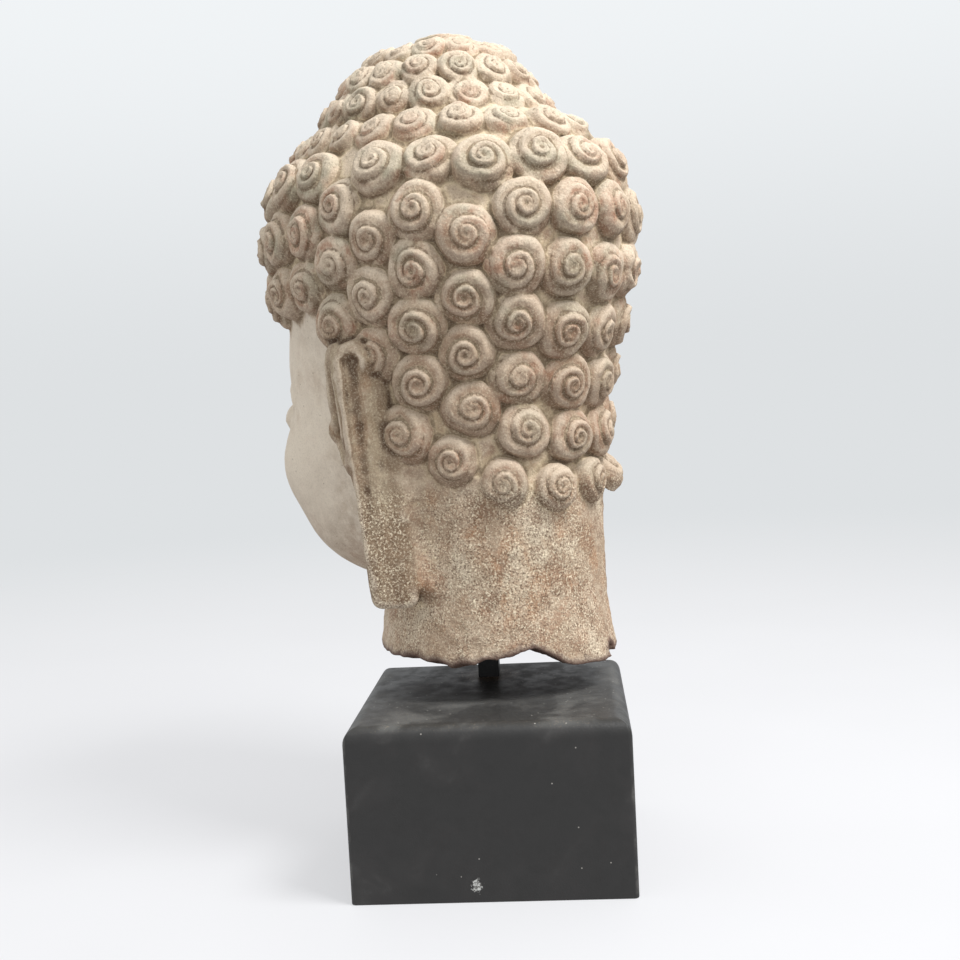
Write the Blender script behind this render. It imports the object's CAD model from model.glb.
"""A carved stone Buddha head, broken off at the neck, on a square black bar and a black block.

The head is sculpted as a distance field in millimetres, measured from the bar's axis with heights
from the ground, and turned into one mesh. x runs to the head's left, the face looks along -y.
"""

import math

import bpy
import numpy as np
from mathutils import Matrix, Vector


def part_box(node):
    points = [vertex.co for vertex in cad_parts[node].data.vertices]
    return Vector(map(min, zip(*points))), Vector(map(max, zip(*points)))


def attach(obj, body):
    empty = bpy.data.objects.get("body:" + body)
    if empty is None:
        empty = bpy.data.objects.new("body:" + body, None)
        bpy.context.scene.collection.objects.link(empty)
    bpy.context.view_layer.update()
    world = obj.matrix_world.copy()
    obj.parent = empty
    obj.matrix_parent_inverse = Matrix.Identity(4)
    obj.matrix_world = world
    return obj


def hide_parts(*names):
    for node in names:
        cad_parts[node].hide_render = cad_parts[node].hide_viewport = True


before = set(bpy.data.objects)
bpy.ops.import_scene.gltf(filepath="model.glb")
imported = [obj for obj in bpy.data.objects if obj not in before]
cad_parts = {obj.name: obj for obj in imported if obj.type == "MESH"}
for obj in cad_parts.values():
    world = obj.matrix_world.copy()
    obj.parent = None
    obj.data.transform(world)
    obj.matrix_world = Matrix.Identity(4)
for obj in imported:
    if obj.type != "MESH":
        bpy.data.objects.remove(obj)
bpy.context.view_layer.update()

MM = 0.001
FINE = 1.1  # spacing of the sculpting grid, mm
COARSE = 4  # fine steps in one step of the grid for the large forms
TRIANGLES = 196_000
rng = np.random.default_rng(20)

# ---- driving sizes, mm

NECK = dict(centre=9.5, half_width=75, half_depth=77.5, foot=133, top=250, flare=5, flare_height=45)
SKULL = dict(centre=-19.5, half_width=108, half_depth=131.5, height=412, above=98, below=138)
NAPE = dict(centre=-12, half_width=91, half_depth=99, height=300, reach=150)
USHNISHA = dict(centre=-24.5, half_width=76.5, half_depth=78, height=468, above=74.5, lean=0.12)
CROWN = dict(top=548, radius=30, step=20, y=-12)
FACE = dict(hairline=366, brow=312, eyes=296, nose_base=254, mouth=236, chin=188, half_width=83)
EAR = dict(top=344, bottom=172, width=30, thick=15, top_x=108, top_y=-3, low_x=97, low_y=9)

BLOCK = dict(width=175, height=109, top_round=10, corner_round=3)
STAND_TURN = 37.0  # degrees that the block and bar are turned against the face
BAR_SIDE = 14.5
CURL_RADIUS = 19.0
CURL_PITCH = 35
CURL = dict(shoulder=7.2, climb=2.0, ledge=2.1, hollow=1.6, spiral_start=0.6, sunk=7)
TURN_RATIO = 0.76  # log of how much the spiral closes in one turn
SPACING = dict(in_row=0.78, gap=0.74)  # least distance of curls, in pitches
PUSH = dict(rounds=60, most=8, share=0.3)
NAPE_CURLS = [(246, 0.8), (282, 1.0)]  # height and share of the full radius
HAIR_TOP = 462
HAIRLINE = dict(nape=240, side=28, rise=0.02, temple=72, temple_height=322, slope=1.7, over_face=6)
CLIMB = dict(rise=90, end=100, power=1.2)  # of the rows from the middle of the back to the temples
LEVEL_ROWS = [(449, 3), (421, 9.5)]  # height, and degrees from the middle of the back to the first curl
CLIMBING_ROWS = [(248, -7), (278, 5), (309, 9), (345, 11), (381, -2)]
# the ushnisha's rows: height, number of curls, degrees to the first one, radius
USHNISHA_ROWS = [(475, 21, 5, 15), (495, 19, -6, 14.5), (514, 16, 13, 13.8), (530, 13, 0, 12.5)]

CHIPS = 22
SCALLOPS = [(-2, 20, -9), (33, 11, 7), (54, 11, 2.5)]  # degrees from the back, width in degrees, height

# ---- the grid


def mm_box(node):
    low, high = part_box(node)
    return np.array(low) / MM, np.array(high) / MM


bar_low, bar_high = mm_box("mounting_bar")
axis = np.array([(bar_low[0] + bar_high[0]) / 2, (bar_low[1] + bar_high[1]) / 2, 0.0])
head_low, head_high = mm_box("carved_head")
MARGIN = 3 * FINE
grid_low = head_low - axis - MARGIN
coarse_step = COARSE * FINE
coarse_count = np.ceil((head_high - axis + MARGIN - grid_low) / coarse_step).astype(int) + 1
fine_count = (coarse_count - 1) * COARSE + 1


def grid_axes(low, count, step):
    return [(low[i] + step * np.arange(count[i])).astype(np.float32) for i in range(3)]


def spread(axes):
    x, y, z = axes
    return x[:, None, None], y[None, :, None], z[None, None, :]


def refine(values, factor):
    """A grid of values at factor times the resolution, by straight lines between them."""
    for direction in range(3):
        values = np.moveaxis(values, direction, 0)
        parts = np.linspace(0, 1, factor, endpoint=False, dtype=np.float32)
        lower, upper = values[:-1], values[1:]
        steps = [lower + (upper - lower) * part for part in parts]
        stacked = np.stack(steps, axis=1).reshape((-1,) + values.shape[1:])
        values = np.moveaxis(np.concatenate([stacked, values[-1:]]), 0, direction)
    return np.ascontiguousarray(values)


fine_axes = grid_axes(grid_low, fine_count, FINE)


def window(low, high):
    """Slices of the fine grid that cover a box, and the coordinates in it."""
    first = np.clip(np.floor((np.array(low) - grid_low) / FINE).astype(int), 0, fine_count - 1)
    last = np.clip(np.ceil((np.array(high) - grid_low) / FINE).astype(int) + 1, 1, fine_count)
    cut = tuple(slice(a, b) for a, b in zip(first, last))
    return cut, spread([fine_axes[i][cut[i]] for i in range(3)])


# ---- forms and joins


def ellipsoid(x, y, z, centre, radii):
    px, py, pz = (x - centre[0]) / radii[0], (y - centre[1]) / radii[1], (z - centre[2]) / radii[2]
    k0 = np.sqrt(px**2 + py**2 + pz**2)
    k1 = np.sqrt((px / radii[0]) ** 2 + (py / radii[1]) ** 2 + (pz / radii[2]) ** 2)
    return k0 * (k0 - 1) / np.maximum(k1, 1e-9)


def join(a, b, width):
    """a and b together, blended where they are nearly as far away as each other."""
    h = np.maximum(width - np.abs(a - b), 0) / width
    return np.minimum(a, b) - h * h * width / 4


def carve(a, b, width):
    """a with b cut out of it."""
    return -join(-a, b, width)


def limit(a, b, width):
    """What a and b share."""
    return -join(-a, -b, width)


def rod(x, y, z, a, b, radius_a, radius_b):
    ab = np.array(b, float) - np.array(a, float)
    px, py, pz = x - a[0], y - a[1], z - a[2]
    t = np.clip((px * ab[0] + py * ab[1] + pz * ab[2]) / ab.dot(ab), 0, 1)
    distance = np.sqrt((px - t * ab[0]) ** 2 + (py - t * ab[1]) ** 2 + (pz - t * ab[2]) ** 2)
    return distance - radius_a - t * (radius_b - radius_a)


def chain(x, y, z, points, radii, width=0.6):
    """Rods from point to point, joined."""
    form = None
    for a, b, ra, rb in zip(points[:-1], points[1:], radii[:-1], radii[1:]):
        link = rod(x, y, z, a, b, ra, rb)
        form = link if form is None else join(form, link, width)
    return form


def arc(points, count):
    """A smooth curve through a few points, as count + 1 points (Catmull-Rom)."""
    p = np.array([points[0]] + list(points) + [points[-1]], float)
    spans = len(points) - 1
    out = []
    for step in range(count + 1):
        u = step / count * spans
        i = min(int(u), spans - 1)
        t = u - i
        a, b, c, d = p[i], p[i + 1], p[i + 2], p[i + 3]
        square = (2 * a - 5 * b + 4 * c - d) * t**2
        cube = (3 * b - a - 3 * c + d) * t**3
        out.append(0.5 * (2 * b + (c - a) * t + square + cube))
    return np.array(out)


def smooth(edge0, edge1, value):
    t = np.clip((value - edge0) / (edge1 - edge0), 0, 1)
    return t * t * (3 - 2 * t)


LATTICE_SHIFT = 0.37  # keeps the noise's corners off the grid's own


def lattice_noise(axes, cell, seed):
    """Smooth random values, about -1 to 1, on the points of a grid."""
    source = np.random.default_rng(seed)
    counts = [int((a[-1] - a[0]) / cell) + 3 for a in axes]
    values = source.uniform(-1, 1, counts).astype(np.float32)
    for direction, a in enumerate(axes):
        u = (a - a[0]) / cell + LATTICE_SHIFT
        i = np.floor(u).astype(int)
        t = (u - i).astype(np.float32)
        t = t * t * (3 - 2 * t)
        shape = [1, 1, 1]
        shape[direction] = len(t)
        t = t.reshape(shape)
        lower = np.take(values, i, axis=direction)
        upper = np.take(values, i + 1, axis=direction)
        values = lower + (upper - lower) * t
    return values


# ---- large forms


def neck_form(x, y, z):
    low = np.clip((NECK["foot"] + NECK["flare_height"] - z) / NECK["flare_height"], 0, 1.2)
    flare = NECK["flare"] * low**2
    px = x / (NECK["half_width"] + flare)
    py = (y - NECK["centre"]) / (NECK["half_depth"] + flare)
    return np.maximum((np.sqrt(px**2 + py**2) - 1) * NECK["half_width"], z - NECK["top"])


def skull_form(x, y, z):
    drop = np.where(z > SKULL["height"], SKULL["above"], SKULL["below"])
    radii = (SKULL["half_width"], SKULL["half_depth"], drop)
    skull = ellipsoid(x, y, z, (0, SKULL["centre"], SKULL["height"]), radii)
    size = (NAPE["half_width"], NAPE["half_depth"], NAPE["reach"])
    nape = ellipsoid(x, y, z, (0, NAPE["centre"], NAPE["height"]), size)
    leaning = USHNISHA["centre"] + USHNISHA["lean"] * (z - USHNISHA["height"])
    size = (USHNISHA["half_width"], USHNISHA["half_depth"], USHNISHA["above"])
    ushnisha = ellipsoid(x, y - leaning, z, (0, 0, USHNISHA["height"]), size)
    return join(join(skull, nape, 30), ushnisha, 8)


def face_mass(x, y, z):
    """The face's large round forms: brow, cheeks, jaw and chin."""
    x = np.abs(x)
    egg = ellipsoid(x, y, z, (0, -66, 282), (FACE["half_width"], 79, 104))
    brow = ellipsoid(x, y, z, (0, -72, 334), (80, 74.5, 62))
    jaw = ellipsoid(x, y, z, (0, -80, 232), (66, 60, 47))
    muzzle = ellipsoid(x, y, z, (0, -113, FACE["mouth"] + 1), (37, 35, 26))
    chin = ellipsoid(x, y, z, (0, -121, FACE["chin"] + 17), (26, 26, 18))
    cheek = ellipsoid(x, y, z, (43, -99, 262), (33, 37, 34))
    form = join(join(egg, brow, 14), jaw, 24)
    form = join(form, cheek, 16)
    return join(form, join(muzzle, chin, 9), 13)


def core_form(x, y, z):
    return join(join(skull_form(x, y, z), face_mass(x, y, z), 12), neck_form(x, y, z), 10)


# ---- the face


def face_skin_y(x, z):
    """How far forward the face's large forms reach at a place, found by halving."""
    near, far = -60.0, -190.0
    for _ in range(24):
        middle = (near + far) / 2
        if float(core_form(np.float64(x), np.float64(middle), np.float64(z))) < 0:
            near = middle
        else:
            far = middle
    return near


def on_face(x, z, lift=0.0):
    return (x, face_skin_y(x, z) - lift, z)


def add_face(field):
    cut, (x, y, z) = window((-84, -185, 176), (84, -88, 372))
    form = field[cut]
    x = np.abs(x)
    eyes, brow, base, mouth = FACE["eyes"], FACE["brow"], FACE["nose_base"], FACE["mouth"]

    # eye sockets, with the brow's edge above them
    form = carve(form, ellipsoid(x, y, z, (37, -158, eyes + 4), (27, 19, 12.5)), 9)
    edge = [(7, -9, -1), (20, 2, -1.5), (37, 7, -1.5), (54, 4, -1.5), (68, -6, -2)]
    ridge = arc([on_face(px, brow + up, lift) for px, up, lift in edge], 10)
    form = join(form, chain(x, y, z, ridge, np.linspace(3.6, 1.8, 11)), 5)

    # lowered eyes: ball, upper lid with its long edge, lower lid
    centre, size = (36.5, -119, eyes - 2), np.array([22.5, 22.5, 14.5])
    ball = ellipsoid(x, y, z, centre, size)
    t = (x - 36.5) / 20
    upper_edge = eyes - 7.5 + 3.6 * t**2 + 0.8 * t
    lower_edge = eyes - 10.8 + 5.2 * t**2 + 1.0 * t
    upper = limit(ellipsoid(x, y, z, centre, size + 2.0), upper_edge - z, 1.2)
    lower = limit(ellipsoid(x, y, z, centre, size + 1.3), z - lower_edge, 1.2)
    form = join(form, ball, 2.5)
    form = join(form, upper, 1.6)
    form = join(form, lower, 4)

    # nose
    bridge = rod(x, y, z, (0, -140, brow - 8), (0, -158.5, base + 13), 6.5, 7.5)
    tip = ellipsoid(x, y, z, (0, -157.4, base + 9), (10.5, 11.5, 8.8))
    wing = ellipsoid(x, y, z, (13.5, -148, base + 7), (8.8, 11, 7.6))
    nose = join(join(bridge, tip, 7), wing, 4.5)
    nose = carve(nose, ellipsoid(x, y, z, (7.2, -154, base - 0.5), (3.6, 6, 3.4)), 2)
    form = join(form, nose, 7)

    # lips: two rolls that meet in a fine line, with the groove above them and a soft corner
    def lip(places, radii):
        points = arc([on_face(px, mouth + up) for px, up in places], 12)
        sizes = np.interp(np.linspace(0, 1, 13), np.linspace(0, 1, len(radii)), radii)
        return chain(x, y, z, points, sizes, 1)

    upper_lip = lip([(0, 4.2), (8, 6), (18, 4.4), (30, 2.6)], [4.2, 4.6, 3.4, 1.0])
    lower_lip = lip([(0, -5.6), (11, -5), (21, -1.8), (29.5, 1.8)], [6.2, 5.8, 3.6, 1.0])
    form = join(form, upper_lip, 2.2)
    form = join(form, lower_lip, 2.5)
    seam = lip([(0, 0.2), (7, 0.9), (18, 0.3), (28, 2.0)], [1.2, 1.1, 0.9, 0.4])
    form = carve(form, seam - 1.0, 1.6)
    form = carve(form, rod(x, y, z, on_face(0, mouth + 9, 2.5), on_face(0, base - 2, 2.5), 2.6, 2.0), 3)
    form = carve(form, ellipsoid(x, y, z, on_face(33.5, mouth + 2.6, 2.6), (3, 3, 4)), 5)
    field[cut] = form


# ---- ears

ACROSS = np.array([0.72, -0.69]) / math.hypot(0.72, 0.69)  # from the head out to the ear's rim
BACKWARD = np.array([-ACROSS[1], ACROSS[0]])
FORWARD = np.array([-0.42, -0.907])  # from the rim to the cheek, along the ear's outer face
OUTWARD = np.array([-FORWARD[1], FORWARD[0]])


def add_ear(field, ears, side):
    top, bottom, half = EAR["top"], EAR["bottom"], EAR["width"] / 2
    low_x, high_x = sorted((side * 58, side * 132))
    cut, (x, y, z) = window((low_x, -62, bottom - 8), (high_x, 50, top + 8))
    form = field[cut]
    x = x * side
    t = (z - bottom) / (top - bottom)
    px = x - (EAR["low_x"] + t * (EAR["top_x"] - EAR["low_x"]))
    py = y - (EAR["low_y"] + t * (EAR["top_y"] - EAR["low_y"]))
    s = px * ACROSS[0] + py * ACROSS[1]
    n = px * BACKWARD[0] + py * BACKWARD[1]

    # the plank: a rounded outline with a flat back and a flat front
    corner = np.where(z > (top + bottom) / 2, 14.5, 7.0)
    ds = np.abs(s) - (half - corner)
    dz = np.abs(z - (top + bottom) / 2) - ((top - bottom) / 2 - corner)
    outline = np.hypot(np.maximum(ds, 0), np.maximum(dz, 0)) + np.minimum(np.maximum(ds, dz), 0) - corner
    plank = limit(outline, np.abs(n + EAR["thick"] / 2) - EAR["thick"] / 2, 5)
    plank = join(plank, ellipsoid(s, n, z, (-3, -7, top - 11), (13, 11, 11)), 5)
    web = chain(s, n, z, [(-14, -9, 268), (-14, -8.5, 230), (-15, -9, 189)], [8, 7.5, 7], 2)

    # the upper ear's outer face, from the rim forward to the cheek
    qx, qy = px - half * ACROSS[0], py - half * ACROSS[1]
    e = qx * FORWARD[0] + qy * FORWARD[1]
    q = qx * OUTWARD[0] + qy * OUTWARD[1]
    dome = np.hypot((e - 13) / 17, (z - 300) / 44)
    shell = limit(limit(n, q, 5), (dome - 1) * 15, 5)
    shell = np.maximum(shell, -(s + 26))
    ear = join(plank, shell, 3)

    # folds of the outer face
    ear = carve(ear, ellipsoid(e, q, z, (15, 2, 299), (9, 6.5, 33)), 2.5)
    bends = [(12, -3, 324), (9.5, -2.5, 303), (11, -2.5, 284), (16, -3, 270)]
    fold = chain(e, q, z, bends, [2.4, 2.8, 2.6, 2.0], 1)
    ear = join(ear, fold, 1.5)
    ear = carve(ear, ellipsoid(e, q, z, (17.5, -1, 290), (4.6, 9, 12)), 2)
    ear = join(ear, ellipsoid(e, q, z, (25, -2, 287), (4.5, 5, 8)), 2)
    ear = carve(ear, rod(s, n, z, (1, -17, 242), (1, -17, 196), 4.2, 5.2), 2)

    # a groove behind the rim, on the ear's flat back
    broad = chain(s, n, z, [(5, 3.6, 330), (7, 3.4, 290), (8, 3.6, 250), (9, 4.2, 210)], [6, 6, 5.6, 5], 2)
    bends = [(9.6, 0.4, 331), (11, 0.2, 300), (11.6, 0.3, 255), (12, 0.8, 200)]
    groove = chain(s, n, z, bends, [2.2, 2.4, 2.2, 1.6])
    ear = carve(carve(ear, broad, 2), groove, 0.8)
    field[cut] = join(join(form, web, 14), ear, 5)
    ears[cut] = np.minimum(ears[cut], ear)


# ---- curls


def surface_reach(azimuth, axis_y, z):
    """How far the large forms reach from the upright line at (0, axis_y)."""
    inside = np.zeros_like(azimuth)
    outside = np.full_like(azimuth, 200.0)
    for _ in range(22):
        middle = (inside + outside) / 2
        hit = core_form(middle * np.sin(azimuth), axis_y - middle * np.cos(azimuth), z) < 0
        inside = np.where(hit, middle, inside)
        outside = np.where(hit, outside, middle)
    return inside


def points_on_head(back_angle, z, axis_y):
    """Places on the head by their angle in degrees from the middle of the back."""
    azimuth = math.pi - np.radians(back_angle)
    reach = surface_reach(azimuth, axis_y, z)
    return np.stack([reach * np.sin(azimuth), axis_y - reach * np.cos(azimuth), z], axis=1)


def row_climb(back_angle):
    open_by = 1 - np.cos(np.radians(np.minimum(np.abs(back_angle), CLIMB["end"])))
    return CLIMB["rise"] * open_by ** CLIMB["power"]


def hairline(back_angle):
    """Lowest height of the hair at an angle from the middle of the back."""
    angle = np.abs(back_angle)
    rising = HAIRLINE["temple_height"] + (angle - HAIRLINE["temple"]) * HAIRLINE["slope"]
    front = np.minimum(FACE["hairline"] + HAIRLINE["over_face"], rising)
    nape = HAIRLINE["nape"] + HAIRLINE["rise"] * np.maximum(angle - HAIRLINE["side"], 0) ** 2
    return np.where(angle < HAIRLINE["temple"], nape, front)


def row_places(level, phase, climb):
    """Places one pitch apart along a row, both ways from its phase."""
    angles = np.arange(-180, 180.5, 0.5)
    row = points_on_head(angles, level + climb * row_climb(angles), SKULL["centre"])
    along = np.concatenate([[0], np.cumsum(np.linalg.norm(np.diff(row, axis=0), axis=1))])
    start = np.interp(phase, angles, along)
    first = -int(start / CURL_PITCH)
    last = int((along[-1] - start) / CURL_PITCH)
    at = start + CURL_PITCH * np.array(sorted(range(first, last + 1), key=abs))
    return np.stack([np.interp(at, along, row[:, k]) for k in range(3)], axis=1)


def back_angles(points):
    """Angles of places from the middle of the back, as points_on_head takes them."""
    angles = 180 - np.degrees(np.arctan2(points[:, 0], SKULL["centre"] - points[:, 1]))
    return (angles + 180) % 360 - 180


def in_hair(points):
    return (points[:, 2] > hairline(back_angles(points))) & (points[:, 2] < HAIR_TOP)


def curl_centres():
    """The curls' centres on the head, each with its radius."""
    placed, radii = [], []
    for level, count, phase, radius in USHNISHA_ROWS:
        angles = phase + np.arange(count) * 360 / count
        axis_y = USHNISHA["centre"] + USHNISHA["lean"] * (level - USHNISHA["height"])
        placed.extend(points_on_head(angles, np.full(count, float(level)), axis_y))
        radii.extend([radius] * count)
    fixed = len(placed)

    def distance(point):
        return np.linalg.norm(np.array(placed) - point, axis=1).min()

    rows = [row_places(level, phase, 1) for level, phase in CLIMBING_ROWS]
    rows += [row_places(level, phase, 0) for level, phase in LEVEL_ROWS]
    for row in rows:
        for point in row[in_hair(row)]:
            if distance(point) > CURL_PITCH * SPACING["in_row"]:
                placed.append(point)

    # fill the widest gaps, then let the curls push each other apart
    angles, heights = np.meshgrid(np.arange(-180, 180, 4.0), np.arange(240, HAIR_TOP, 5.0))
    spots = points_on_head(angles.ravel(), heights.ravel(), SKULL["centre"])
    spots = spots[in_hair(spots)]
    while True:
        gaps = np.min([np.linalg.norm(spots - point, axis=1) for point in placed], axis=0)
        if gaps.max() < CURL_PITCH * SPACING["gap"]:
            break
        placed.append(spots[gaps.argmax()])
    points = np.array(placed)
    for _ in range(PUSH["rounds"]):
        away = points[:, None] - points[None]
        length = np.linalg.norm(away, axis=2) + 1e-6
        push = np.clip(CURL_PITCH - length, 0, PUSH["most"]) * PUSH["share"]
        np.fill_diagonal(push, 0)
        step = (away / length[..., None] * push[..., None]).sum(axis=1)
        step[:fixed] = 0
        moved = points + step
        heights = np.clip(moved[:, 2], hairline(back_angles(moved)) + 1, HAIR_TOP)
        heights[:fixed] = points[:fixed, 2]
        points[fixed:] = points_on_head(back_angles(moved), heights, SKULL["centre"])[fixed:]
    radii += [CURL_RADIUS] * (len(points) - fixed)
    return list(zip(points + rng.uniform(-0.8, 0.8, points.shape), radii))


def outward_normal(point):
    """The direction in which the large forms face at a point."""
    step = 0.5
    near = [core_form(*(point + step * axis_vector)) for axis_vector in np.eye(3)]
    far = [core_form(*(point - step * axis_vector)) for axis_vector in np.eye(3)]
    normal = np.array(near) - np.array(far)
    return normal / np.linalg.norm(normal)


def curl_top(t, phi, radius, wear):
    """Height of a snail-shell curl over its foot, at t of its radius and angle phi."""
    t = np.maximum(t, 0.02)
    s = np.log(CURL["spiral_start"] / t) / TURN_RATIO - phi / (2 * np.pi)
    turn = np.floor(s)
    f = s - turn
    tau = turn + phi / (2 * np.pi)
    climb = CURL["climb"] * np.clip(tau + 1, 0, 2)
    rise = 0.22
    ledge = np.where(f < rise, 1 - ((rise - f) / rise) ** 2, 1 - 1.1 * ((f - rise) / (1 - rise)) ** 1.4)
    ledge = ledge * CURL["ledge"] * np.clip(t * 2.2, 0.25, 1) * np.clip(tau + 1.6, 0.1, 1)
    shoulder = CURL["shoulder"] * np.sqrt(np.maximum(1 - np.minimum(t, 1) ** 2.6, 0))
    hollow = CURL["hollow"] * np.exp(-((t / 0.13) ** 2))
    return (shoulder + wear * (climb + ledge - hollow)) * radius / CURL_RADIUS


def add_curls(field):
    """The field of the curls alone, on the head's grid."""
    curl_field = np.full(field.shape, 30.0, np.float32)
    for centre, radius in curl_centres():
        normal = outward_normal(centre) + rng.normal(0, 0.05, 3)
        normal /= np.linalg.norm(normal)
        side = np.cross((0, 0, 1), normal)
        side /= np.linalg.norm(side)
        up = np.cross(normal, side)
        radius = radius * rng.uniform(0.95, 1.05) * np.interp(centre[2], *zip(*NAPE_CURLS))
        spin = rng.choice([-1, 1], p=[0.25, 0.75])
        phase = rng.uniform(0, 2 * np.pi)
        wear = rng.uniform(0.65, 1.05)
        lobes = rng.uniform(0.015, 0.04, 2)
        turns = rng.uniform(0, 2 * np.pi, 2)
        reach = radius + CURL["sunk"]
        cut, (x, y, z) = window(centre - reach, centre + reach)
        x, y, z = x - centre[0], y - centre[1], z - centre[2]
        ripple = rng.normal(0, 0.35, 3)
        a = x * side[0] + y * side[1] + z * side[2]
        b = x * up[0] + y * up[1] + z * up[2]
        w = x * normal[0] + y * normal[1] + z * normal[2]
        angle = np.arctan2(b, a)
        waves = lobes[0] * np.sin(2 * angle + turns[0]), lobes[1] * np.sin(3 * angle + turns[1])
        edge = radius * (1 + waves[0] + waves[1])
        rho = np.hypot(a, b)
        phi = np.mod(spin * angle + phase, 2 * np.pi)
        lumps = ripple[0] * np.sin(0.35 * a + turns[0]) + ripple[1] * np.sin(0.4 * b + turns[1]) + ripple[2]
        top = (w - lumps - curl_top(rho / edge, phi, radius, wear)) * 0.8
        curl = limit(limit(top, rho - edge, 2.2), -(w + CURL["sunk"]), 1)
        curl_field[cut] = join(curl_field[cut], curl.astype(np.float32), 0.8)
    return curl_field


def crown_curl():
    """The flat curl that closes the top, in two thin tiers."""
    radius, top, centre = CROWN["radius"], CROWN["top"], CROWN["y"]
    reach = radius + 6
    cut, (x, y, z) = window((-reach, centre - reach, top - 30), (reach, centre + reach, top + 4))
    rho = np.hypot(x, y - centre)
    phi = np.mod(np.arctan2(y - centre, x), 2 * np.pi)
    s = np.log(0.95 * CROWN["step"] / np.maximum(rho, 1)) / 0.5 - phi / (2 * np.pi)
    line = np.exp(-(((s - np.round(s)) / 0.16) ** 2)) * np.minimum(rho / 10, 1)
    upper = limit(z - (top - 0.6 - 1.6 * (rho / radius) ** 2 - 0.9 * line), rho - CROWN["step"], 2.5)
    lower = limit(z - (top - 5 - 2.5 * (rho / radius) ** 2), rho - radius, 2.5)
    return cut, join(upper, lower, 1.2) * 0.9


# ---- the broken neck


def break_height(x, y):
    """Height of the break under the neck, wavy with blunt scallops along its edge."""
    around = np.arctan2(x, y - NECK["centre"])
    out = np.clip(np.hypot(x, y - NECK["centre"]) / NECK["half_width"], 0, 1.15)
    wave = 1.6 * np.sin(3 * around + 0.8) + 1.5 * np.sin(7 * around + 2.2) + 0.5 * np.sin(13 * around + 1.0)
    for angle, width, height in SCALLOPS:
        wave = wave + height * np.exp(-(((around - math.radians(angle)) / math.radians(width)) ** 2))
    return NECK["foot"] + 1.5 + wave * out + 2.5 * (1 - out)


def break_neck(field):
    """Breaks the neck off with chips around its edge, and cuts the bar's square hole."""
    foot = NECK["foot"]
    cut, (x, y, z) = window((-95, -90, foot - 12), (95, 100, foot + 60))
    form = field[cut]
    axes = [a.ravel() for a in (x, y, z)]
    rough = lattice_noise(axes, 7, 31) * 0.9
    rough = rough + lattice_noise(axes, 2.6, 32) * 0.4
    below = z - break_height(x, y) - rough
    for angle in rng.uniform(0, 2 * np.pi, CHIPS):
        size = rng.uniform(5, 22)
        depth = rng.uniform(0.08, 0.24) * size
        away = NECK["half_width"] + NECK["flare"] + rng.uniform(-1, 5)
        cx, cy = away * math.sin(angle), NECK["centre"] + away * math.cos(angle)
        cz = foot + 2 - size + depth
        chip = np.sqrt((x - cx) ** 2 + (y - cy) ** 2 + (z - cz) ** 2) - size
        below = join(below, chip, 1.0)
    form = carve(form, below, 0.8)
    turn = math.radians(STAND_TURN)
    u = x * math.cos(turn) + y * math.sin(turn)
    v = y * math.cos(turn) - x * math.sin(turn)
    half = BAR_SIDE / 2 + 0.3
    form = np.maximum(form, -np.maximum(np.abs(u) - half, np.abs(v) - half))
    field[cut] = form
    broken = np.full(field.shape, -9.0, np.float32)
    broken[cut] = np.clip(-below, -9, 9)
    return broken


# ---- from the field to a mesh


def surface_net(field, low, step):
    """Vertices and quads of the zero level, one vertex in each cell that it crosses."""
    inside = field < 0
    corners = [(i, j, k) for i in (0, 1) for j in (0, 1) for k in (0, 1)]
    shape = tuple(n - 1 for n in field.shape)
    total = np.zeros(shape, np.uint8)
    for i, j, k in corners:
        total += inside[i : i + shape[0], j : j + shape[1], k : k + shape[2]]
    cells = np.argwhere((total > 0) & (total < 8))
    index = np.full(shape, -1, np.int32)
    index[tuple(cells.T)] = np.arange(len(cells))
    values = {c: field[tuple((cells + c).T)] for c in corners}
    points = np.zeros((len(cells), 3))
    weight = np.zeros(len(cells))
    for a in corners:
        for direction in range(3):
            if a[direction]:
                continue
            b = tuple(v + (d == direction) for d, v in enumerate(a))
            va, vb = values[a], values[b]
            crossed = (va < 0) != (vb < 0)
            t = np.where(crossed, va / np.where(crossed, va - vb, 1), 0)
            place = np.array(a, float) + t[:, None] * np.eye(3)[direction]
            points += place * crossed[:, None]
            weight += crossed
    points = low + (cells + points / weight[:, None]) * step
    quads = []
    for direction in range(3):
        d1, d2 = (direction + 1) % 3, (direction + 2) % 3
        first = [slice(None)] * 3
        second = [slice(None)] * 3
        first[direction], second[direction] = slice(None, -1), slice(1, None)
        change = inside[tuple(first)] != inside[tuple(second)]
        edges = np.argwhere(change)
        edges = edges[(edges[:, d1] > 0) & (edges[:, d2] > 0)]
        edges = edges[(edges[:, d1] < shape[d1]) & (edges[:, d2] < shape[d2])]
        e1, e2 = np.eye(3, dtype=int)[d1], np.eye(3, dtype=int)[d2]
        ring = [edges - e1 - e2, edges - e2, edges, edges - e1]
        quad = np.stack([index[tuple(r.T)] for r in ring], axis=1)
        outward = inside[tuple(edges.T)]
        quad[~outward] = quad[~outward][:, ::-1]
        quads.append(quad)
    return points, np.concatenate(quads)


def sample(values, points):
    """The grid's values at points, by straight lines between its corners."""
    place = (points - grid_low) / FINE
    base = np.clip(np.floor(place).astype(int), 0, np.array(values.shape) - 2)
    t = place - base
    out = np.zeros(len(points))
    for i in (0, 1):
        for j in (0, 1):
            for k in (0, 1):
                share = np.abs(1 - i - t[:, 0]) * np.abs(1 - j - t[:, 1]) * np.abs(1 - k - t[:, 2])
                out += share * values[base[:, 0] + i, base[:, 1] + j, base[:, 2] + k]
    return out


def gradient(values, points):
    step = 0.7 * FINE
    return np.stack(
        [sample(values, points + step * d) - sample(values, points - step * d) for d in np.eye(3)], axis=1
    ) / (2 * step)


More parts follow.
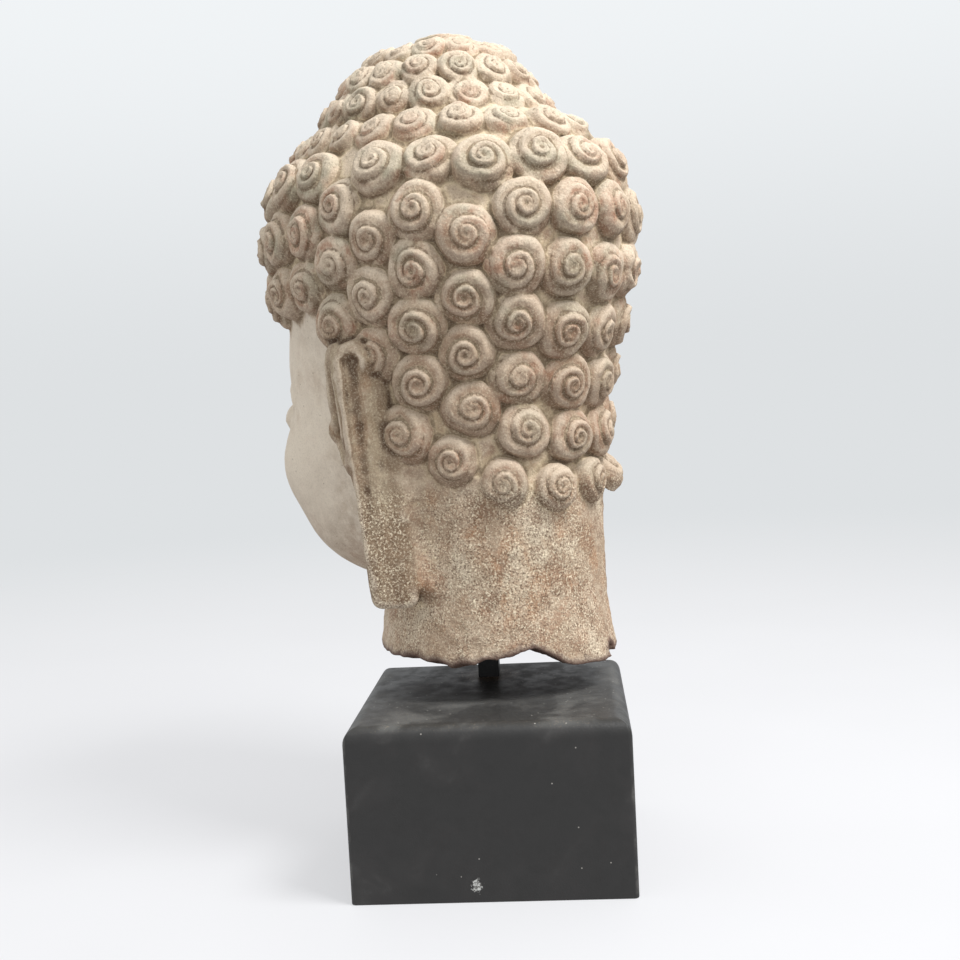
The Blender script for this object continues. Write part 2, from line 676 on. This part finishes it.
def settle(values, points, rounds=2):
    """Moves points onto the zero level."""
    for _ in range(rounds):
        slope = gradient(values, points)
        push = sample(values, points) / np.maximum((slope**2).sum(1), 0.15)
        points = points - np.clip(push, -0.6, 0.6)[:, None] * slope
    return points


def box_blur(values, radius):
    """Mean over a cube around each grid point, radius in grid steps."""
    for direction in range(3):
        moved = np.moveaxis(values, direction, 0)
        before, after = np.repeat(moved[:1], radius + 1, 0), np.repeat(moved[-1:], radius, 0)
        padded = np.concatenate([before, moved, after])
        total = np.cumsum(padded, axis=0, dtype=np.float64)
        width = 2 * radius + 1
        values = np.moveaxis(((total[width:] - total[:-width]) / width).astype(np.float32), 0, direction)
    return values


def new_object(name, data):
    """An object of its own in the scene."""
    thing = bpy.data.objects.new(name, data)
    bpy.context.scene.collection.objects.link(thing)
    return thing


def places_of(mesh):
    co = np.empty(len(mesh.vertices) * 3, np.float32)
    mesh.vertices.foreach_get("co", co)
    return co.reshape(-1, 3)


def new_mesh(name, points, faces):
    mesh = bpy.data.meshes.new(name)
    mesh.vertices.add(len(points))
    mesh.vertices.foreach_set("co", np.ascontiguousarray(points, np.float32).ravel())
    corners = faces.shape[1]
    mesh.loops.add(faces.size)
    mesh.loops.foreach_set("vertex_index", np.ascontiguousarray(faces, np.int32).ravel())
    mesh.polygons.add(len(faces))
    mesh.polygons.foreach_set("loop_start", np.arange(0, faces.size, corners, dtype=np.int32))
    mesh.update(calc_edges=True)
    mesh.validate()
    return mesh


def add_attribute(mesh, name, values):
    layer = mesh.attributes.new(name, "FLOAT", "POINT")
    layer.data.foreach_set("value", np.asarray(values, np.float32))


def decimated(name, mesh, triangles):
    """The mesh with its smooth parts thinned out, as triangles."""
    thick = new_object(name + "_thick", mesh)
    thin = thick.modifiers.new("thin", "DECIMATE")
    thin.ratio = min(1.0, triangles / (2 * len(mesh.polygons)))
    thin.use_collapse_triangulate = True
    graph = bpy.context.evaluated_depsgraph_get()
    result = bpy.data.meshes.new_from_object(thick.evaluated_get(graph))
    bpy.data.objects.remove(thick)
    result.name = name
    return result


def sculpt_head():
    coarse_axes = grid_axes(grid_low, coarse_count, coarse_step)
    field = refine(core_form(*spread(coarse_axes)).astype(np.float32), COARSE)
    add_face(field)
    ears = np.full(field.shape, 30.0, np.float32)
    for side in (1, -1):
        add_ear(field, ears, side)
    curls = add_curls(field)
    cut, crown = crown_curl()
    curls[cut] = join(curls[cut], crown, 0.8)
    field = join(field, curls, 1.8).astype(np.float32)
    face_side = smooth(-60, -100, fine_axes[1])[None, :, None] * smooth(372, 360, fine_axes[2])[None, None, :]
    unevenness = 0.55 * lattice_noise(fine_axes, 34, 11) + 0.35 * lattice_noise(fine_axes, 11, 12)
    small = 0.36 * lattice_noise(fine_axes, 4.6, 13) + 0.2 * lattice_noise(fine_axes, 2.4, 14)
    field += (unevenness + small) * (1 - 0.75 * face_side)
    broken = break_neck(field)
    points, quads = surface_net(field, grid_low, FINE)
    points = settle(field, points)
    mesh = decimated("stone_head", new_mesh("sculpted", points, quads), TRIANGLES)
    co = places_of(mesh).astype(float)
    for name, reach in (("crevice", 4), ("line", 2.2)):
        add_attribute(mesh, name, -sample(box_blur(field, max(1, round(reach / FINE))), co))
    add_attribute(mesh, "hair", smooth(4.0, 0.5, sample(curls, co)))
    add_attribute(mesh, "broken", smooth(4.0, 1.8, -sample(broken, co)))
    add_attribute(mesh, "ear", smooth(3.0, 0.3, sample(ears, co)))
    slope = gradient(box_blur(field, 1), co)
    add_attribute(mesh, "facing_up", slope[:, 2] / np.maximum(np.linalg.norm(slope, axis=1), 1e-6))
    mesh.vertices.foreach_set("co", ((co + axis) * MM).astype(np.float32).ravel())
    mesh.shade_smooth()
    return new_object("stone_head", mesh)


# ---- materials


class Graph:
    """A node graph, built by name."""

    def __init__(self, tree):
        self.tree = tree

    def link(self, value, socket):
        if isinstance(value, (int, float)):
            socket.default_value = value
        elif isinstance(value, tuple):
            socket.default_value = (*value, 1) if len(socket.default_value) == 4 else value
        else:
            self.tree.links.new(value, socket)

    def node(self, kind, inputs, **settings):
        """The outputs of a new node, with its inputs linked or set."""
        node = self.tree.nodes.new("ShaderNode" + kind)
        for name, value in settings.items():
            setattr(node, name, value)
        for socket, value in inputs.items():
            self.link(value, node.inputs[socket])
        return node.outputs

    def math(self, operation, a, b):
        return self.node("Math", {0: a, 1: b}, operation=operation)[0]

    def add(self, a, b):
        return self.math("ADD", a, b)

    def times(self, first, *others):
        for other in others:
            first = self.math("MULTIPLY", first, other)
        return first

    def inverse(self, a):
        return self.math("SUBTRACT", 1.0, a)

    def ramp(self, value, low, high, to_low=0.0, to_high=1.0):
        inputs = dict(enumerate((value, low, high, to_low, to_high)))
        return self.node("MapRange", inputs, interpolation_type="SMOOTHSTEP")[0]


class Look(Graph):
    """A material, with its colour laid up in tints."""

    def __init__(self, name, tints=None):
        self.material = bpy.data.materials.new(name)
        self.material.use_nodes = True
        super().__init__(self.material.node_tree)
        self.shader = self.tree.nodes["Principled BSDF"]
        self.place = self.node("TexCoord", {})["Object"]
        self.tints = tints
        self.colour = None

    def stretched(self, scale, turn=0.0):
        return self.node("Mapping", {"Vector": self.place, "Scale": scale, "Rotation": (0, 0, turn)})[0]

    def noise(self, cell, detail=3.0, rough=0.55, place=None, warp=0.0):
        """Noise from 0 to 1 with features about cell mm wide."""
        inputs = {"Vector": place or self.place, "Scale": 1 / (cell * MM), "Detail": detail}
        return self.node("TexNoise", inputs | {"Roughness": rough, "Distortion": warp})["Fac"]

    def grains(self, cell, size, chance):
        """Round specks, size of the cell's width, in a share of the cells."""
        cells = self.node("TexVoronoi", {"Vector": self.place, "Scale": 1 / (cell * MM)})
        draw = self.node("SeparateColor", {0: cells["Color"]})[0]
        spot = self.ramp(cells["Distance"], size, size * 0.5)
        return self.times(spot, self.math("LESS_THAN", draw, chance))

    def attribute(self, name):
        return self.node("Attribute", {}, attribute_name=name)["Fac"]

    def position(self):
        """x, y and z on the object, in m."""
        return self.node("SeparateXYZ", {0: self.place})

    def distance(self, point, scale=(1, 1, 1)):
        away = self.node("VectorMath", {0: self.place, 1: point}, operation="SUBTRACT")[0]
        scaled = self.node("VectorMath", {0: away, 1: scale}, operation="MULTIPLY")[0]
        return self.node("VectorMath", {0: scaled}, operation="LENGTH")["Value"]

    def mix(self, share, a, b):
        return self.node("Mix", {"Factor": share, 6: a, 7: b}, data_type="RGBA")[2]

    def lay(self, tint, share, amount=1.0):
        """Lays a tint, or its name, over the colour so far where share is above 0."""
        if amount < 1:
            share = self.times(share, amount)
        self.colour = self.mix(share, self.colour, self.tints[tint] if isinstance(tint, str) else tint)

    def bump(self, height, distance, under=None):
        """A normal bumped by a height of 0 to 1, distance mm deep."""
        inputs = {"Distance": distance * MM, "Height": height}
        if under is not None:
            inputs["Normal"] = under
        return self.node("Bump", inputs)[0]

    def finish(self, roughness, normal, specular):
        self.link(self.colour, self.shader.inputs["Base Color"])
        self.link(roughness, self.shader.inputs["Roughness"])
        self.link(normal, self.shader.inputs["Normal"])
        self.shader.inputs["Specular IOR Level"].default_value = specular
        return self.material


def tone(red, green, blue):
    """A linear colour from its display values, 0 to 255."""
    return tuple(((v / 255 + 0.055) / 1.055) ** 2.4 for v in (red, green, blue))


def tones(**named):
    return {name: tone(*values) for name, values in named.items()}


# heights in m from which a look fades in, and where it is full
LEVELS = dict(
    hairline=(0.377, 0.367), jaw=(0.15, 0.24), low_curls=(0.44, 0.30), high=(0.40, 0.50),
    neck=(0.262, 0.235), lobe=(0.235, 0.185), ear_grain=(0.25, 0.20), block_top=(0.1045, 0.1085),
)
AHEAD = dict(face=(-0.03, -0.056))  # the same along y
STONE = tones(
    bare=(182, 162, 139), bare_pale=(206, 188, 166), brown=(148, 118, 94),
    rust=(166, 114, 88), green=(142, 141, 120), mottle=(116, 95, 77),
    low_curls=(142, 112, 89), face=(216, 204, 187), face_aged=(168, 147, 124),
    neck=(156, 130, 105), orange=(170, 126, 92), drift=(210, 197, 174), earth=(124, 95, 74),
    olive=(158, 144, 116), streak=(116, 93, 74), lobe=(98, 74, 58), dust=(220, 205, 184),
    shade=(98, 76, 59), hollow=(226, 207, 172), seam=(84, 66, 50), line=(96, 76, 58),
    ear_groove=(82, 62, 47), face_line=(122, 100, 80), worn=(216, 200, 180),
    cream_grain=(240, 226, 198), brown_grain=(92, 69, 52), speck=(84, 66, 52),
    broken=(86, 62, 55),
)
PAINT = tones(
    dark=(32, 31, 30), light=(39, 37, 36), smudge=(105, 104, 102), haze=(112, 112, 109),
    bar_dust=(96, 77, 60), powder=(178, 158, 132), crumb=(190, 160, 132),
    speck=(176, 172, 164), chip_pale=(196, 196, 192), chip_dark=(88, 86, 82),
    edge=(110, 108, 104),
)
STEEL = tones(dark=(6, 6, 6), light=(16, 15, 14), speck=(110, 98, 84))


def stone_look():
    look = Look("carved_stone_look", STONE)
    _, y, z = look.position()
    names = ("hair", "ear", "crevice", "line", "facing_up", "broken")
    hair, ear, crevice, line, up, broken = map(look.attribute, names)
    clouds = look.noise(70, 4, 0.6, warp=0.4)
    patches = look.noise(26, 4, 0.6, warp=0.6)
    mottle = look.noise(8, 5, 0.65)
    grit = look.noise(1.35, 3, 0.7)
    streaks = look.noise(9, 4, 0.6, place=look.stretched((1, 1, 0.13)))

    # bare stone: warm grey, browner in clouds, redder in some patches, grey-green in a few
    look.colour = look.mix(look.ramp(clouds, 0.36, 0.62), STONE["bare"], STONE["bare_pale"])
    look.lay("brown", look.ramp(patches, 0.44, 0.62, 0, 0.75))
    red = look.times(look.ramp(look.noise(34, 3, 0.5, warp=0.5), 0.5, 0.62), look.ramp(mottle, 0.35, 0.6))
    look.lay("rust", red, 0.7)
    green = look.times(look.ramp(look.noise(31, 2, 0.5), 0.54, 0.64), hair)
    look.lay("green", green, 0.6)
    look.lay("mottle", look.ramp(mottle, 0.45, 0.72, 0, 0.45))

    # the curls are browner low down, the face is smoother and greyer
    front = look.ramp(look.add(y, look.times(patches, 0.03)), *AHEAD["face"])
    below_hair = look.times(look.ramp(z, *LEVELS["hairline"]), look.ramp(z, *LEVELS["jaw"], 0.45, 1.0))
    face = look.times(front, below_hair, look.times(look.inverse(hair), look.inverse(ear)))
    look.lay("low_curls", look.times(hair, look.ramp(z, *LEVELS["low_curls"])), 0.4)
    look.lay("face", face, 0.85)
    aged = look.times(face, look.times(look.ramp(clouds, 0.5, 0.68), look.ramp(mottle, 0.3, 0.6)))
    look.lay("face_aged", aged, 0.4)

    # the neck: brown with orange stains and pale drifts
    neck = look.times(look.ramp(z, *LEVELS["neck"]), look.inverse(face))
    look.lay("neck", neck, 0.5)
    runs = look.noise(24, 4, 0.6, place=look.stretched((1, 1, 0.55)))
    look.lay("orange", look.times(look.ramp(runs, 0.49, 0.62), neck), 0.5)
    drift = look.noise(30, 4, 0.65, place=look.stretched((1, 1, 0.5), 0.6), warp=0.5)
    pale = look.times(look.ramp(drift, 0.47, 0.66), neck)
    look.lay("drift", pale, 0.55)
    earthy = look.times(look.ramp(look.noise(17, 4, 0.65, warp=0.6), 0.5, 0.66), neck)
    look.lay("earth", earthy, 0.6)

    # the ears are streaked brown
    streaked = look.times(ear, look.ramp(streaks, 0.36, 0.6, 0.2, 1.0))
    look.lay("olive", ear, 0.5)
    look.lay("streak", streaked, 0.6)
    lobe = look.times(ear, look.ramp(z, *LEVELS["lobe"]), look.ramp(streaks, 0.62, 0.42))
    look.lay("lobe", lobe, 0.7)

    # dust: upper faces and hollows are paler
    high = look.ramp(z, *LEVELS["high"])
    dust = look.times(look.ramp(up, -0.1, 0.75), look.add(0.4, look.times(high, 0.2)))
    look.lay("dust", look.times(dust, look.inverse(look.times(ear, 0.6))))
    dim = look.times(look.ramp(up, 0.1, -0.55), look.ramp(mottle, 0.25, 0.6, 0.55, 1.0))
    look.lay("shade", look.times(dim, look.inverse(look.times(face, 0.5))), 0.62)
    hollow = look.times(look.ramp(crevice, 0.15, 1.0), look.ramp(mottle, 0.2, 0.5))
    open_up = look.times(look.inverse(ear), look.ramp(up, -0.6, 0.1, 0.2, 1.0))
    hollow = look.times(hollow, open_up, look.inverse(face))
    look.lay("hollow", hollow, 0.7)
    seam = look.times(look.ramp(crevice, 1.1, 1.9), look.ramp(up, 0.35, -0.1))
    look.lay("seam", seam, 0.55)
    drawn = look.times(look.ramp(line, 0.12, 0.42), hair, look.ramp(mottle, 0.25, 0.55, 0.5, 1.0))
    look.lay("line", drawn, 0.7)
    stained = look.times(look.ramp(crevice, 0.0, 0.7), ear)
    look.lay("ear_groove", stained, 0.85)
    lined = look.times(look.ramp(crevice, 0.1, 0.9), face)
    look.lay("face_line", lined, 0.6)
    worn = look.times(look.ramp(crevice, -0.3, -0.9), look.ramp(patches, 0.3, 0.55))
    look.lay("worn", look.times(worn, look.add(0.55, look.times(hair, -0.3))))

    # grain: cream and brown specks, densest on the neck and ears
    on_neck = look.times(neck, look.ramp(drift, 0.34, 0.54, 0.4, 1.0))
    on_ear = look.times(ear, look.ramp(z, *LEVELS["ear_grain"], 0.25, 0.6))
    dense = look.math("MAXIMUM", on_neck, on_ear)
    amount = look.math("MAXIMUM", dense, look.add(0.3, look.times(face, -0.15)))
    cream = look.times(look.ramp(grit, 0.48, 0.66), amount)
    look.lay("cream_grain", cream, 0.8)
    brown = look.times(look.ramp(look.noise(1.2, 2, 0.6), 0.5, 0.66), amount)
    look.lay("brown_grain", brown, 0.8)
    look.lay("speck", look.grains(5.5, 0.13, 0.35), 0.5)

    # the break
    look.lay("broken", broken, 0.85)

    roughness = look.ramp(mottle, 0.3, 0.7, 0.82, 0.96)
    rough = look.inverse(look.times(face, 0.65))
    under = look.bump(look.times(look.noise(6, 4, 0.6), rough), 0.9)
    fine = look.add(look.times(grit, 0.6), look.times(look.noise(3, 3, 0.7), 0.8))
    normal = look.bump(look.times(fine, rough), 0.8, under=under)
    return look.finish(roughness, normal, 0.25)


def block_point(forward, side, up):
    """A place on the stand: toward the block's near face, to its right and up, in mm."""
    turn = math.radians(STAND_TURN)
    x = forward * math.cos(turn) - side * math.sin(turn)
    y = forward * math.sin(turn) + side * math.cos(turn)
    return (x * MM, y * MM, up * MM)


def block_look():
    look = Look("black_paint_look", PAINT)
    top = look.ramp(look.position()[2], *LEVELS["block_top"])
    smudge = look.noise(38, 3, 0.55, warp=0.5)
    haze = look.noise(11, 4, 0.6)
    look.colour = look.mix(look.ramp(smudge, 0.35, 0.7), PAINT["dark"], PAINT["light"])
    faint = look.times(look.ramp(smudge, 0.56, 0.74), look.ramp(haze, 0.35, 0.7))
    look.lay("smudge", faint, 0.22)
    foot = (axis[0] * MM, axis[1] * MM, BLOCK["height"] * MM)
    cloudy = look.ramp(look.add(smudge, look.times(haze, 0.35)), 0.6, 0.85, 0.25, 1.0)
    settled = look.times(top, cloudy, look.ramp(look.distance(foot), 0.03, 0.08))
    look.lay("haze", settled, 0.45)
    near_bar = look.ramp(look.add(look.distance(foot), look.times(haze, 0.016)), 0.034, 0.013)
    look.lay("bar_dust", near_bar, 0.7)
    dusty = look.add(near_bar, look.times(settled, 0.5))
    look.lay("powder", look.times(look.ramp(look.noise(1.1, 2, 0.6), 0.56, 0.72), dusty), 0.6)
    specks = look.math("MAXIMUM", look.grains(9, 0.065, 0.35), look.times(top, look.grains(5, 0.12, 0.5)))
    crumbs = look.times(look.grains(2.4, 0.24, 0.5), look.ramp(look.distance(foot), 0.036, 0.014))
    look.lay("crumb", crumbs, 0.7)
    look.lay("speck", specks, 0.7)
    chip = look.distance(block_point(BLOCK["width"] / 2, -10, 10.5), (1, 1, 0.8))
    chip = look.ramp(look.add(chip, look.times(look.noise(2.6, 3, 0.7), 0.0085)), 0.0078, 0.0068)
    inside = look.ramp(look.noise(1.6, 2, 0.6), 0.42, 0.58)
    look.lay(look.mix(inside, PAINT["chip_pale"], PAINT["chip_dark"]), chip, 0.9)
    edge = look.ramp(look.attribute("edge"), 0.4, 1.0)
    look.lay("edge", look.times(edge, look.ramp(haze, 0.45, 0.65)), 0.35)
    roughness = look.ramp(look.add(haze, look.times(smudge, 0.6)), 0.6, 1.0, 0.42, 0.6)
    under = look.bump(look.noise(14, 3, 0.5), 0.25)
    normal = look.bump(look.add(look.noise(1.2, 2, 0.5), look.times(chip, -2.0)), 0.12, under=under)
    return look.finish(roughness, normal, 0.45)


def bar_look():
    look = Look("black_steel_look", STEEL)
    haze = look.noise(5, 4, 0.6)
    look.colour = look.mix(look.ramp(haze, 0.4, 0.75), STEEL["dark"], STEEL["light"])
    look.lay("speck", look.grains(3, 0.1, 0.3), 0.5)
    roughness = look.ramp(haze, 0.35, 0.7, 0.35, 0.55)
    return look.finish(roughness, look.bump(look.noise(1.2, 2, 0.6), 0.1), 0.45)


# ---- stand


def rounded_box(name, half, low, high, rounds, centre, turn):
    """A square post with rounded upright, top and bottom edges, as rings of points."""
    upright, top, bottom = rounds
    right = math.pi / 2
    few, many = np.linspace(0, right, 4), np.linspace(0, right, 9)
    levels = [(bottom * (1 - math.sin(a)), low + bottom * (1 - math.cos(a))) for a in few]
    levels += [(top * (1 - math.cos(a)), high - top * (1 - math.sin(a))) for a in many]
    steps = np.linspace(0, right, 7)
    points = []
    for inset, z in levels:
        size = max(upright - inset, upright * 0.15)
        corner = half - inset - size
        for quarter in range(4):
            u = corner * math.copysign(1, math.cos((quarter + 0.5) * right))
            v = corner * math.copysign(1, math.sin((quarter + 0.5) * right))
            for step in steps:
                angle = quarter * right + step
                points.append((u + size * math.cos(angle), v + size * math.sin(angle), z))
    count = 4 * len(steps)
    faces = [
        (ring + i, ring + (i + 1) % count, ring + count + (i + 1) % count, ring + count + i)
        for ring in range(0, count * (len(levels) - 1), count)
        for i in range(count)
    ]
    faces.append(tuple(reversed(range(count))))
    faces.append(tuple(range(count * (len(levels) - 1), count * len(levels))))
    c, s = math.cos(turn), math.sin(turn)
    places = [(x * c - y * s + centre[0], x * s + y * c + centre[1], z) for x, y, z in points]
    mesh = bpy.data.meshes.new(name)
    mesh.from_pydata(places, [], faces)
    return mesh


def stand_piece(name, mesh):
    mesh.shade_smooth()
    piece = new_object(name, mesh)
    even = piece.modifiers.new("even", "WEIGHTED_NORMAL")
    even.keep_sharp = True
    return piece


def make_stand():
    turn = math.radians(STAND_TURN)
    half, height = BLOCK["width"] / 2 * MM, BLOCK["height"] * MM
    rounds = (BLOCK["corner_round"] * MM, BLOCK["top_round"] * MM, 0.8 * MM)
    mesh = rounded_box("black_block", half, 0, height, rounds, (0, 0), turn)
    co = places_of(mesh)
    c, s = math.cos(turn), math.sin(turn)
    u, v = np.abs(co[:, 0] * c + co[:, 1] * s) / half, np.abs(co[:, 1] * c - co[:, 0] * s) / half
    near = np.sort(np.stack([u, v, co[:, 2] / height]), axis=0)[1]
    add_attribute(mesh, "edge", smooth(0.95, 0.995, near))
    block_piece = stand_piece("black_block", mesh)
    side = BAR_SIDE / 2 * MM
    edge = 1.2 * MM
    rounds = (edge, edge / 2, edge / 2)
    bar = rounded_box("black_bar", side, bar_low[2] * MM, bar_high[2] * MM, rounds, axis[:2] * MM, turn)
    return block_piece, stand_piece("black_bar", bar)


# ---- assembly

head = sculpt_head()
block_piece, bar_piece = make_stand()
pieces = (
    (head, "carved_head", "carved_stone", stone_look()),
    (block_piece, "plinth_block", "black_painted_wood", block_look()),
    (bar_piece, "mounting_bar", "black_steel", bar_look()),
)
for piece, node, slot, material in pieces:
    piece.data.materials.append(material)
    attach(piece, "root")
    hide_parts(node)

# ---- stage

VIEW_PLACE = Vector((0.6369, 0.5504, 0.3147))
VIEW_FORWARD = Vector((-0.7533, -0.6532, -0.0771)).normalized()
VIEW_ROLL = math.radians(-2.99)
VIEW_LENS = 48.15  # mm, on a sensor 36 mm wide
FLOOR = dict(half_width=12, paper=tone(214, 214, 216), pale=tone(219, 219, 221), glow=tone(238, 238, 240))
BACKDROP = tone(222, 225, 227)
LAMP = dict(place=(-0.15, 1.0, 1.75), aim=(0, 0, 0.3), size=0.7, energy=36)


def make_floor():
    """A pale floor that glows more, and fades to the backdrop's tone, away from the part."""
    mesh = bpy.data.meshes.new("floor")
    half = FLOOR["half_width"]
    corners = [(-half, -half, 0), (half, -half, 0), (half, half, 0), (-half, half, 0)]
    mesh.from_pydata(corners, [], [(0, 1, 2, 3)])
    floor = new_object("floor", mesh)
    look = Look("floor_look")
    away = look.distance((0, 0, 0))
    glow = look.node("Emission", {0: look.mix(look.ramp(away, 0.3, 2.2), FLOOR["glow"], BACKDROP)})[0]
    shares = look.ramp(away, 0.1, 1.6, 0.6, 1.0)
    blend = look.node("MixShader", {0: shares, 1: look.shader.outputs[0], 2: glow})[0]
    look.link(blend, look.tree.nodes["Material Output"].inputs["Surface"])
    look.colour = look.mix(look.ramp(look.noise(300, 2), 0.3, 0.7), FLOOR["paper"], FLOOR["pale"])
    look.finish(0.6, look.bump(look.noise(2), 0.02), 0.2)
    mesh.materials.append(look.material)


def make_world():
    world = bpy.data.worlds.new("studio")
    world.use_nodes = True
    graph = Graph(world.node_tree)
    height = graph.node("SeparateXYZ", {0: graph.node("TexCoord", {})["Generated"]})[2]
    sky = graph.tree.nodes["Background"]
    graph.link(BACKDROP, sky.inputs["Color"])
    graph.link(graph.ramp(height, 0.0, 0.3, 1.0, 1.2), sky.inputs["Strength"])
    bpy.context.scene.world = world


def add_lamp():
    data = bpy.data.lights.new("overhead", "AREA")
    data.size = LAMP["size"]
    data.energy = LAMP["energy"]
    lamp = new_object("overhead", data)
    lamp.location = LAMP["place"]
    lamp.rotation_euler = (Vector(LAMP["aim"]) - lamp.location).to_track_quat("-Z", "Y").to_euler()


def add_camera():
    side = VIEW_FORWARD.cross(Vector((0, 0, 1))).normalized()
    upward = side.cross(VIEW_FORWARD)
    across = side * math.cos(VIEW_ROLL) + upward * math.sin(VIEW_ROLL)
    above = -side * math.sin(VIEW_ROLL) + upward * math.cos(VIEW_ROLL)
    data = bpy.data.cameras.new("camera")
    data.sensor_width = 36
    data.lens = VIEW_LENS
    camera = new_object("camera", data)
    camera.matrix_world = Matrix((across, above, -VIEW_FORWARD)).transposed().to_4x4()
    camera.location = VIEW_PLACE
    bpy.context.scene.camera = camera


make_floor()
make_world()
add_lamp()
add_camera()
bpy.context.scene.view_settings.view_transform = "Standard"
